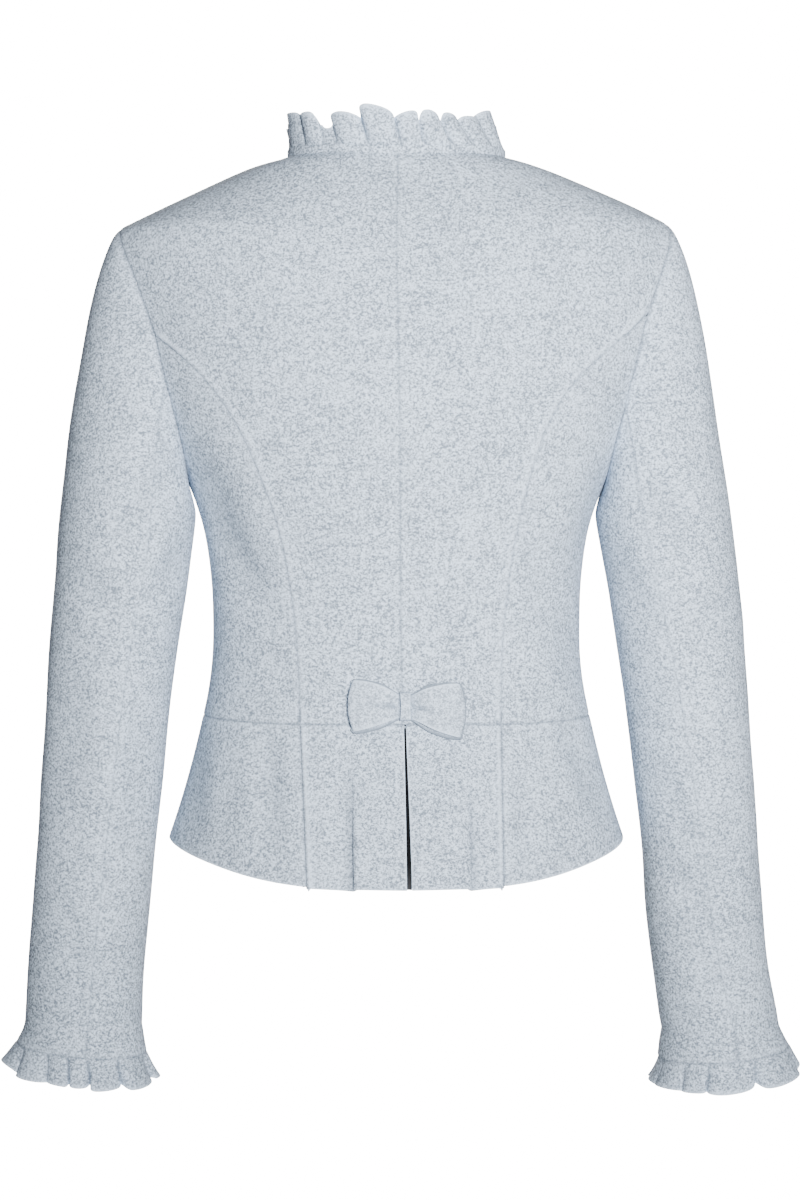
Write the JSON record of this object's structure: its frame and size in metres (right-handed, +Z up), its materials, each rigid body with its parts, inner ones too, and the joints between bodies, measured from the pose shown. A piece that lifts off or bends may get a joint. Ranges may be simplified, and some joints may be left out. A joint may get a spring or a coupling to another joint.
{
  "type": "tyrolean loden jacket",
  "caption": "Short fitted women's jacket of pale blue-grey fulled wool, with gathered collar and cuff frills, peplum and a flat back bow.",
  "frame": {"origin": "middle of the base of the neck, level with the neck ends of the shoulder seams, where the wearer's shoulders and neck hold the jacket", "axes": "+Z up along the body, -Y to the front where the jacket buttons, +X to the wearer's left"},
  "size_m": [0.589, 0.2632, 0.7077],
  "materials": {
    "loden": "matt, felted nap, pale blue-grey melange",
    "button": "satin"
  },
  "bodies": {
    "root": {"back_left": "loden", "side_back_left": "loden", "side_front_left": "loden", "front_left": "loden", "peplum_back_left": "loden", "peplum_side_left": "loden", "peplum_front_left": "loden", "sleeve_top_left": "loden", "sleeve_under_left": "loden", "cuff_band_left": "loden", "cuff_frill_left": "loden", "back_right": "loden", "side_back_right": "loden", "side_front_right": "loden", "front_right": "loden", "peplum_back_right": "loden", "peplum_side_right": "loden", "peplum_front_right": "loden", "sleeve_top_right": "loden", "sleeve_under_right": "loden", "cuff_band_right": "loden", "cuff_frill_right": "loden", "neck_band": "loden", "collar_frill": "loden", "bow": "loden", "bow_knot": "loden", "button_1": "button", "button_2": "button", "button_3": "button", "button_4": "button", "button_5": "button"}
  },
  "joints": []
}
